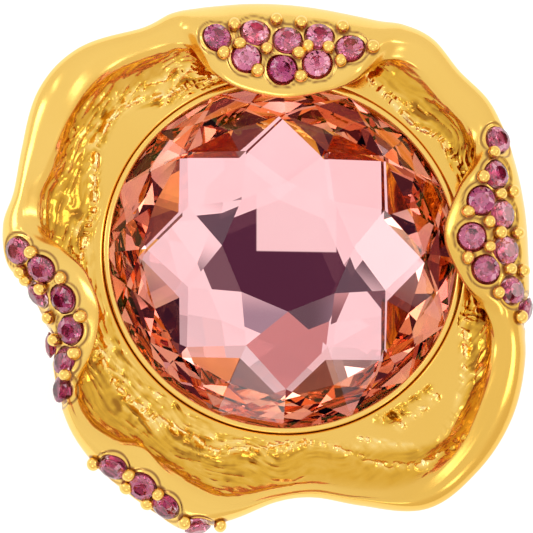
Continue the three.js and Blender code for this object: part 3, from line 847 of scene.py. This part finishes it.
def make_small_stones(material):
    """One brilliant in each seat, each turned and leaning its own way."""
    points, faces = brilliant(SMALL_STONE_RADIUS)
    for petal, places in SMALL_STONES.items():
        for i, (u, place) in enumerate(places):
            node = f"{petal}_stone_{i + 1}"
            spin = Matrix.Rotation(math.radians(SMALL_STONE_SPIN * i), 3, "Z")
            axis = (math.cos(2.4 * i), math.sin(2.4 * i), 0)
            lean = Matrix.Rotation(math.radians(SMALL_STONE_LEAN), 3, axis)
            turned = set_on_rim(points @ np.array(lean @ spin).T, u, place, 0.0)
            stone = new_object(f"{node}_cut", turned, faces, smooth=False)
            stone.data.materials.append(material)
            shade = stone.data.attributes.new("shade", "FLOAT", "POINT")
            shade.data.foreach_set("value", [SMALL_STONE_SHADE[petal]] * len(points))
            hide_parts(node)


# Materials

def new_material(name):
    material = bpy.data.materials.new(name)
    material.use_nodes = True
    tree = material.node_tree
    return material, tree.nodes, tree.links, tree.nodes["Principled BSDF"]


def map_range(nodes, links, value, low, high, to_low, to_high):
    node = nodes.new("ShaderNodeMapRange")
    links.new(value, node.inputs["Value"])
    node.inputs["From Min"].default_value = low
    node.inputs["From Max"].default_value = high
    node.inputs["To Min"].default_value = to_low
    node.inputs["To Max"].default_value = to_high
    return node.outputs["Result"]


def noise(nodes, links, vector, scale, detail):
    node = nodes.new("ShaderNodeTexNoise")
    node.inputs["Scale"].default_value = scale
    node.inputs["Detail"].default_value = detail
    links.new(vector, node.inputs["Vector"])
    return node.outputs["Fac"]


def mix_colour(nodes, links, factor, a, b):
    """Colours are sockets or (r, g, b)."""
    node = nodes.new("ShaderNodeMix")
    node.data_type = "RGBA"
    links.new(factor, node.inputs["Factor"])
    for name, colour in (("A", a), ("B", b)):
        if isinstance(colour, tuple):
            node.inputs[name].default_value = (*colour, 1)
        else:
            links.new(colour, node.inputs[name])
    return node.outputs["Result"]


def vertex_value(nodes, name):
    node = nodes.new("ShaderNodeAttribute")
    node.attribute_name = name
    return node.outputs["Fac"]


def gold_material():
    """Satin cast gold on the rims, painted darker in the bowl as painted shade and painted brighter
    on raised metal as painted highlight, and both smoother and more bumpy where it is chased. The
    small stones' seats are foiled pink, with a line of painted shade round each."""
    material, nodes, links, shader = new_material("gold")
    shader.inputs["Metallic"].default_value = 1.0
    coords = nodes.new("ShaderNodeTexCoord").outputs["Object"]
    chased = vertex_value(nodes, "chased")
    # How much the gold is painted brighter or darker: painted highlight and painted shade
    deep = vertex_value(nodes, "deep")

    cloud = noise(nodes, links, coords, CLOUD_SCALE, 3.0)
    shades = nodes.new("ShaderNodeValToRGB")
    links.new(map_range(nodes, links, deep, -1, 1, 0, 1), shades.inputs["Fac"])
    ramp = shades.color_ramp.elements
    ramp[0].position, ramp[0].color = GOLD_SHEEN_AND_SHADE[0][0], (*GOLD_SHEEN_AND_SHADE[0][1], 1)
    ramp[1].position, ramp[1].color = GOLD_SHEEN_AND_SHADE[-1][0], (*GOLD_SHEEN_AND_SHADE[-1][1], 1)
    for place, colour in GOLD_SHEEN_AND_SHADE[1:-1]:
        ramp.new(place).color = (*colour, 1)
    colour = mix_colour(nodes, links, map_range(nodes, links, cloud, 0.3, 0.7, 0, 0.12),
                        shades.outputs["Color"], GOLD_CLOUD)
    colour = mix_colour(nodes, links, vertex_value(nodes, "seat"), colour, SEAT_FOIL)
    # Painted shade in the crevices round the seats, fields and beads
    colour = mix_colour(nodes, links, vertex_value(nodes, "crevice_shade"), colour, CREVICE_SHADE_COLOUR)
    links.new(colour, shader.inputs["Base Color"])

    rough = nodes.new("ShaderNodeMath")
    rough.operation = "ADD"
    links.new(map_range(nodes, links, cloud, 0.3, 0.7, 0.15, 0.22), rough.inputs[0])
    links.new(map_range(nodes, links, chased, 0.0, 0.7, 0.0, -0.1), rough.inputs[1])
    links.new(rough.outputs["Value"], shader.inputs["Roughness"])

    bump = nodes.new("ShaderNodeBump")
    bump.inputs["Distance"].default_value = GRAIN_DEPTH * MM
    links.new(map_range(nodes, links, chased, 0.0, 1.0, 0.05, 0.8), bump.inputs["Strength"])
    links.new(noise(nodes, links, coords, GRAIN_SCALE, 5.0), bump.inputs["Height"])
    links.new(bump.outputs["Normal"], shader.inputs["Normal"])
    return material


def gem_material(name, colour, other, dark, ior):
    """Clear cut stone, its colour drifting slowly between two, and darker where its shade is
    more."""
    material, nodes, links, shader = new_material(name)
    shader.inputs["Roughness"].default_value = 0.0
    shader.inputs["IOR"].default_value = ior
    shader.inputs["Transmission Weight"].default_value = 1.0
    coords = nodes.new("ShaderNodeTexCoord").outputs["Object"]
    drift = noise(nodes, links, coords, DRIFT_SCALE, 1.0)
    drift = map_range(nodes, links, drift, 0.4, 0.6, 0, 1)
    drifting = mix_colour(nodes, links, drift, colour, other)
    shaded = mix_colour(nodes, links, vertex_value(nodes, "shade"), drifting, dark)
    links.new(shaded, shader.inputs["Base Color"])
    return material


def foil_material(name, colour, other):
    """Mirror foil on the back of a stone, its colour drifting slowly between two."""
    material, nodes, links, shader = new_material(name)
    shader.inputs["Metallic"].default_value = 1.0
    shader.inputs["Roughness"].default_value = 0.0
    coords = nodes.new("ShaderNodeTexCoord").outputs["Object"]
    drift = noise(nodes, links, coords, DRIFT_SCALE, 2.0)
    drift = map_range(nodes, links, drift, 0.35, 0.65, 0, 1)
    links.new(mix_colour(nodes, links, drift, colour, other), shader.inputs["Base Color"])
    return material


# Pieces

gold = gold_material()
crown_glass = gem_material("pink_glass", *GLASS_COLOURS, CRYSTAL_IOR)
pink_foil = foil_material("pink_foil", *PINK_FOIL_COLOURS)
copper_foil = foil_material("copper_foil", *COPPER_FOIL_COLOURS)
rose = gem_material("rose_stone", *ROSE_COLOURS, RUBY_IOR)

cup = make_cup()
cup.data.materials.append(gold)
make_beads().data.materials.append(gold)
make_collet().data.materials.append(gold)
make_shank().data.materials.append(gold)
make_gallery().data.materials.append(gold)
make_big_stone((crown_glass, pink_foil, copper_foil))
make_small_stones(rose)

# Stage

def make_camera():
    """A long lens, so that the view has almost no perspective."""
    right = Vector((0, 1, 0)).cross(VIEW_TILT).normalized()
    up = VIEW_TILT.cross(right)
    centre = Vector((0, 0, GIRDLE_HEIGHT)) + right * VIEW_SHIFT[0] + up * VIEW_SHIFT[1]
    camera = bpy.data.objects.new("camera", bpy.data.cameras.new("camera"))
    camera.data.sensor_width = SENSOR
    camera.data.lens = SENSOR * VIEW_DISTANCE / VIEW_WIDTH
    camera.data.clip_start = 0.01
    axes = Matrix((right, up, VIEW_TILT)).transposed().to_4x4()
    camera.matrix_world = Matrix.Translation((centre + VIEW_TILT * VIEW_DISTANCE) * MM) @ axes
    bpy.context.scene.collection.objects.link(camera)
    bpy.context.scene.camera = camera


def make_floor():
    """A plain white floor that the band stands on."""
    mesh = bpy.data.meshes.new("floor")
    corners = [(FLOOR_HALF * x, FLOOR_HALF * y) for x, y in ((-1, -1), (1, -1), (1, 1), (-1, 1))]
    mesh.from_pydata([[x * MM, y * MM, FLOOR_HEIGHT * MM] for x, y in corners], [], [[0, 1, 2, 3]])
    floor = bpy.data.objects.new("floor", mesh)
    bpy.context.scene.collection.objects.link(floor)
    material, _, _, shader = new_material("floor")
    shader.inputs["Base Color"].default_value = (0.95, 0.95, 0.95, 1)
    shader.inputs["Roughness"].default_value = 0.9
    shader.inputs["Emission Color"].default_value = (1, 1, 1, 1)
    shader.inputs["Emission Strength"].default_value = 0.25
    floor.data.materials.append(material)


def make_light(name, direction, size, radiance):
    """A rectangular white softbox that faces the middle of the head. Radiance 1 looks as bright as
    white paper."""
    direction = Vector(direction).normalized()
    light = bpy.data.lights.new(name, "AREA")
    light.shape = "RECTANGLE"
    light.size, light.size_y = size[0] * MM, size[1] * MM
    light.energy = radiance * math.pi * light.size * light.size_y
    obj = bpy.data.objects.new(name, light)
    centre = Vector((0, 0, GIRDLE_HEIGHT)) + direction * LIGHT_DISTANCE
    facing = direction.to_track_quat("Z", "Y").to_matrix().to_4x4()
    obj.matrix_world = Matrix.Translation(centre * MM) @ facing
    bpy.context.scene.collection.objects.link(obj)


class Sums:
    """Arithmetic on shader values."""

    def __init__(self, nodes, links):
        self.nodes, self.links = nodes, links

    def do(self, operation, *values):
        node = self.nodes.new("ShaderNodeMath")
        node.operation = operation
        for k, value in enumerate(values):
            if isinstance(value, (int, float)):
                node.inputs[k].default_value = value
            else:
                self.links.new(value, node.inputs[k])
        return node.outputs["Value"]

    def step(self, value, edge, softness):
        """0 below the edge and 1 above it, with a soft change between."""
        node = self.nodes.new("ShaderNodeMapRange")
        node.interpolation_type = "SMOOTHSTEP"
        self.links.new(value, node.inputs["Value"])
        node.inputs["From Min"].default_value = edge - softness
        node.inputs["From Max"].default_value = edge + softness
        return node.outputs["Result"]

    def within(self, value, half, softness):
        """1 where the value is between -half and half."""
        below = self.do("SUBTRACT", 1.0, self.step(value, half, softness))
        return self.do("MULTIPLY", self.step(value, -half, softness), below)


def make_world():
    """White light all round. The metal sees a cream room, warmer towards the front right. Polished
    facets see white overhead with cards in it, and a patchwork of dark and light round the
    sides."""
    world = bpy.data.worlds.new("studio")
    world.use_nodes = True
    nodes, links = world.node_tree.nodes, world.node_tree.links
    background = nodes["Background"]
    sums = Sums(nodes, links)
    split = nodes.new("ShaderNodeSeparateXYZ")
    direction = nodes.new("ShaderNodeTexCoord").outputs["Generated"]
    links.new(direction, split.inputs["Vector"])
    path = nodes.new("ShaderNodeLightPath")

    white = map_range(nodes, links, split.outputs["Z"], 0.5, 0.92, HORIZON_GLOW, ZENITH_GLOW)

    side = sums.do("SUBTRACT", split.outputs["X"], split.outputs["Y"])
    walls = mix_colour(nodes, links, sums.step(side, 0.5, 0.5), LEFT_WALL, RIGHT_WALL)
    above = sums.step(split.outputs["Z"], CEILING_EDGE, 0.24)
    room = mix_colour(nodes, links, above, walls, CEILING)

    patches = sums.step(noise(nodes, links, direction, 3.6, 1.0), 0.525, 0.03)
    hues = sums.step(noise(nodes, links, direction, 6.0, 0.0), 0.5, 0.04)
    light = mix_colour(nodes, links, hues, WHITE_PATCH, AMBER_PATCH)
    dark = mix_colour(nodes, links, hues, BLACK_PATCH, MAUVE_PATCH)
    patchwork = mix_colour(nodes, links, patches, dark, light)
    overhead = map_range(nodes, links, split.outputs["Z"], 0.6, 0.9, 0.5, 1.12)
    over_patches = sums.step(split.outputs["Z"], PATCHWORK_TOP, 0.03)
    sparkle = mix_colour(nodes, links, over_patches, patchwork, overhead)

    height = sums.do("MAXIMUM", split.outputs["Z"], 0.05)
    sky_x = sums.do("MULTIPLY", sums.do("DIVIDE", split.outputs["X"], height), math.degrees(1))
    sky_y = sums.do("MULTIPLY", sums.do("DIVIDE", split.outputs["Y"], height), math.degrees(1))
    for x, y, turn, length, width, softness, colour in CARDS:
        c, s = math.cos(math.radians(turn)), math.sin(math.radians(turn))
        dx, dy = sums.do("SUBTRACT", sky_x, x), sums.do("SUBTRACT", sky_y, y)
        along = sums.do("ADD", sums.do("MULTIPLY", dx, c), sums.do("MULTIPLY", dy, s))
        over = sums.do("SUBTRACT", sums.do("MULTIPLY", dy, c), sums.do("MULTIPLY", dx, s))
        card = sums.do("MULTIPLY", sums.within(along, length, softness),
                       sums.within(over, width, softness))
        card = sums.do("MULTIPLY", card, sums.do("GREATER_THAN", split.outputs["Z"], 0.1))
        sparkle = mix_colour(nodes, links, card, sparkle, colour)

    sky = mix_colour(nodes, links, path.outputs["Is Glossy Ray"], white, room)
    sky = mix_colour(nodes, links, path.outputs["Is Singular Ray"], sky, sparkle)
    links.new(sky, background.inputs["Color"])
    bpy.context.scene.world = world


make_camera()
make_floor()
make_world()
for name, direction, size, radiance in LIGHTS:
    make_light(name, direction, size, radiance)

scene = bpy.context.scene
scene.view_settings.view_transform = "Standard"
scene.cycles.max_bounces = 24
scene.cycles.transmission_bounces = 24
scene.cycles.glossy_bounces = 12
scene.cycles.transparent_max_bounces = 12
